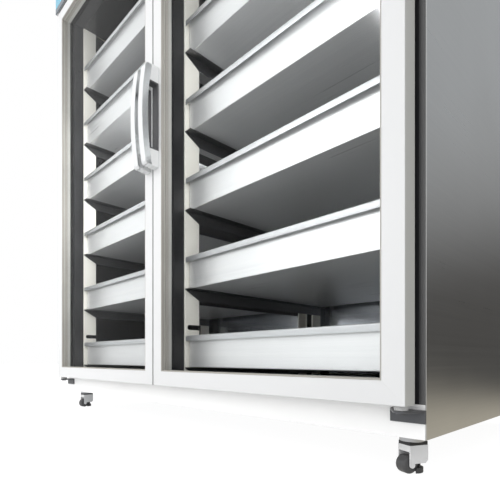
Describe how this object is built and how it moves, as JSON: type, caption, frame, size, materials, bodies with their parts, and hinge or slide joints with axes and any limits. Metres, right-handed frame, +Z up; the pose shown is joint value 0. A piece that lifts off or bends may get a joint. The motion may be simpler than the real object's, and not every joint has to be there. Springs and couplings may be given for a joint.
{
  "type": "proofing cabinet",
  "caption": "Tall glass-door dough proofing cabinet on levelling casters, with bow handles, a coloured header and shallow steel drawers on rack runners.",
  "frame": {"origin": "centre of the base of the cabinet's box, on the floor", "axes": "+X right along the front, +Y into the cabinet, +Z up"},
  "size_m": [1.425, 0.8794, 1.95],
  "materials": {
    "brushed_steel": "vertical brushed grain, satin",
    "drawer_steel": "fine horizontal brushed grain",
    "kick_steel": "satin white sheet",
    "liner_steel": "dull rolled sheet",
    "liner_sheet": "dull rolled sheet",
    "galvanised": "dull galvanised sheet",
    "breaker_plastic": "matt black extrusion",
    "foam": null,
    "rack_steel": "off-white satin powder coat",
    "runner_steel": "mill-finish stainless",
    "hinge_steel": "dark grey coated steel",
    "pin_steel": "ground steel",
    "bush_plastic": "light grey moulded",
    "header_colour": "semi-gloss blue",
    "control_face": "gloss black touch screen in a dark bezel",
    "motor_metal": "hammered grey",
    "impeller_metal": "mill finish",
    "heater_metal": "heat-tinted stainless",
    "gland_plastic": "black moulded",
    "caster_zinc": "light grey die-casting",
    "caster_plate_steel": "zinc-plated",
    "wheel_plastic": "dark grey polymer",
    "foot_rubber": "dark rubber",
    "door_aluminium": "satin white powder coat",
    "door_glass": "clear float glass",
    "seal_rubber": "dark glazing rubber",
    "gasket_rubber": "black magnetic gasket",
    "grip_metal": "satin silver-white",
    "handle_blocks": "light grey moulded"
  },
  "bodies": {
    "cabinet": {"left_side_panel": "brushed_steel", "right_side_panel": "brushed_steel", "back_panel": "brushed_steel", "base_pan": "galvanised", "kick_plate": "kick_steel", "front_frame": "brushed_steel", "breaker_strips": "breaker_plastic", "insulation": "foam", "liner": "liner_sheet", "centre_posts": "liner_steel", "rack_posts": "rack_steel", "runners": "runner_steel", "hinge_brackets": "hinge_steel", "hinge_pins": "pin_steel", "header_casing": "brushed_steel", "header_panel": "header_colour", "control_panel": "control_face", "fan_motor": "motor_metal", "heating_unit": "heater_metal", "cable_gland": "gland_plastic", "caster_plates": "caster_plate_steel"},
    "fan": {"fan_impeller": "impeller_metal"},
    "left_door": {"left_door_frame": "door_aluminium", "left_door_glass": "door_glass", "left_glazing_seal": "seal_rubber", "left_door_gasket": "gasket_rubber", "left_handle_grip": "grip_metal", "left_handle_base": "handle_blocks", "left_hinge_bushes": "bush_plastic"},
    "left_drawer_1": {"left_drawer_1": "drawer_steel"},
    "left_drawer_2": {"left_drawer_2": "drawer_steel"},
    "left_drawer_3": {"left_drawer_3": "drawer_steel"},
    "left_drawer_4": {"left_drawer_4": "drawer_steel"},
    "left_drawer_5": {"left_drawer_5": "drawer_steel"},
    "left_drawer_6": {"left_drawer_6": "drawer_steel"},
    "right_door": {"right_door_frame": "door_aluminium", "right_door_glass": "door_glass", "right_glazing_seal": "seal_rubber", "right_door_gasket": "gasket_rubber", "right_handle_grip": "grip_metal", "right_handle_base": "handle_blocks", "right_hinge_bushes": "bush_plastic"},
    "right_drawer_1": {"right_drawer_1": "drawer_steel"},
    "right_drawer_2": {"right_drawer_2": "drawer_steel"},
    "right_drawer_3": {"right_drawer_3": "drawer_steel"},
    "right_drawer_4": {"right_drawer_4": "drawer_steel"},
    "right_drawer_5": {"right_drawer_5": "drawer_steel"},
    "right_drawer_6": {"right_drawer_6": "drawer_steel"},
    "front_right_fork": {"front_right_fork": "caster_zinc"},
    "front_right_wheel": {"front_right_wheel": "wheel_plastic"},
    "front_right_foot": {"front_right_foot": "foot_rubber"},
    "front_left_fork": {"front_left_fork": "caster_zinc"},
    "front_left_wheel": {"front_left_wheel": "wheel_plastic"},
    "front_left_foot": {"front_left_foot": "foot_rubber"},
    "rear_right_fork": {"rear_right_fork": "caster_zinc"},
    "rear_right_wheel": {"rear_right_wheel": "wheel_plastic"},
    "rear_right_foot": {"rear_right_foot": "foot_rubber"},
    "rear_left_fork": {"rear_left_fork": "caster_zinc"},
    "rear_left_wheel": {"rear_left_wheel": "wheel_plastic"},
    "rear_left_foot": {"rear_left_foot": "foot_rubber"}
  },
  "joints": [
    {"name": "fan_spin", "type": "hinge", "parent": "cabinet", "child": "fan", "pos_m": [0, 0.15, 1.5074], "axis": [0, 0, 1], "continuous": true},
    {"name": "left_door_hinge", "type": "hinge", "parent": "cabinet", "child": "left_door", "pos_m": [-0.686, -0.3722, 0.1214], "axis": [0, 0, -1], "range_deg": [0, 110]},
    {"name": "left_drawer_1_slide", "type": "slide", "parent": "cabinet", "child": "left_drawer_1", "axis": [0, -1, 0], "range_m": [0, 0.046]},
    {"name": "left_drawer_2_slide", "type": "slide", "parent": "cabinet", "child": "left_drawer_2", "axis": [0, -1, 0], "range_m": [0, 0.046]},
    {"name": "left_drawer_3_slide", "type": "slide", "parent": "cabinet", "child": "left_drawer_3", "axis": [0, -1, 0], "range_m": [0, 0.046]},
    {"name": "left_drawer_4_slide", "type": "slide", "parent": "cabinet", "child": "left_drawer_4", "axis": [0, -1, 0], "range_m": [0, 0.046]},
    {"name": "left_drawer_5_slide", "type": "slide", "parent": "cabinet", "child": "left_drawer_5", "axis": [0, -1, 0], "range_m": [0, 0.046]},
    {"name": "left_drawer_6_slide", "type": "slide", "parent": "cabinet", "child": "left_drawer_6", "axis": [0, -1, 0], "range_m": [0, 0.046]},
    {"name": "right_door_hinge", "type": "hinge", "parent": "cabinet", "child": "right_door", "pos_m": [0.686, -0.3722, 0.1214], "axis": [0, 0, 1], "range_deg": [0, 110]},
    {"name": "right_drawer_1_slide", "type": "slide", "parent": "cabinet", "child": "right_drawer_1", "axis": [0, -1, 0], "range_m": [0, 0.046]},
    {"name": "right_drawer_2_slide", "type": "slide", "parent": "cabinet", "child": "right_drawer_2", "axis": [0, -1, 0], "range_m": [0, 0.046]},
    {"name": "right_drawer_3_slide", "type": "slide", "parent": "cabinet", "child": "right_drawer_3", "axis": [0, -1, 0], "range_m": [0, 0.046]},
    {"name": "right_drawer_4_slide", "type": "slide", "parent": "cabinet", "child": "right_drawer_4", "axis": [0, -1, 0], "range_m": [0, 0.046]},
    {"name": "right_drawer_5_slide", "type": "slide", "parent": "cabinet", "child": "right_drawer_5", "axis": [0, -1, 0], "range_m": [0, 0.046]},
    {"name": "right_drawer_6_slide", "type": "slide", "parent": "cabinet", "child": "right_drawer_6", "axis": [0, -1, 0], "range_m": [0, 0.046]},
    {"name": "front_right_swivel", "type": "hinge", "parent": "cabinet", "child": "front_right_fork", "pos_m": [0.667, -0.2917, 0.048], "axis": [0, 0, 1], "continuous": true},
    {"name": "front_right_roll", "type": "hinge", "parent": "front_right_fork", "child": "front_right_wheel", "pos_m": [0.66253, -0.30175, 0.0155], "axis": [-0.9135, 0.4067, 0], "continuous": true},
    {"name": "front_right_foot_screw", "type": "slide", "parent": "front_right_fork", "child": "front_right_foot", "axis": [0, 0, -1], "range_m": [0, 0.008]},
    {"name": "front_left_swivel", "type": "hinge", "parent": "cabinet", "child": "front_left_fork", "pos_m": [-0.667, -0.2917, 0.048], "axis": [0, 0, 1], "continuous": true},
    {"name": "front_left_roll", "type": "hinge", "parent": "front_left_fork", "child": "front_left_wheel", "pos_m": [-0.66585, -0.30264, 0.0155], "axis": [-0.9945, -0.1045, 0], "continuous": true},
    {"name": "front_left_foot_screw", "type": "slide", "parent": "front_left_fork", "child": "front_left_foot", "axis": [0, 0, -1], "range_m": [0, 0.008]},
    {"name": "rear_right_swivel", "type": "hinge", "parent": "cabinet", "child": "rear_right_fork", "pos_m": [0.667, 0.3721, 0.048], "axis": [0, 0, 1], "continuous": true},
    {"name": "rear_right_roll", "type": "hinge", "parent": "rear_right_fork", "child": "rear_right_wheel", "pos_m": [0.67601, 0.36579, 0.0155], "axis": [-0.5736, -0.8192, 0], "continuous": true},
    {"name": "rear_right_foot_screw", "type": "slide", "parent": "rear_right_fork", "child": "rear_right_foot", "axis": [0, 0, -1], "range_m": [0, 0.008]},
    {"name": "rear_left_swivel", "type": "hinge", "parent": "cabinet", "child": "rear_left_fork", "pos_m": [-0.667, 0.3721, 0.048], "axis": [0, 0, 1], "continuous": true},
    {"name": "rear_left_roll", "type": "hinge", "parent": "rear_left_fork", "child": "rear_left_wheel", "pos_m": [-0.67653, 0.3666, 0.0155], "axis": [-0.5, 0.866, 0], "continuous": true},
    {"name": "rear_left_foot_screw", "type": "slide", "parent": "rear_left_fork", "child": "rear_left_foot", "axis": [0, 0, -1], "range_m": [0, 0.008]}
  ]
}
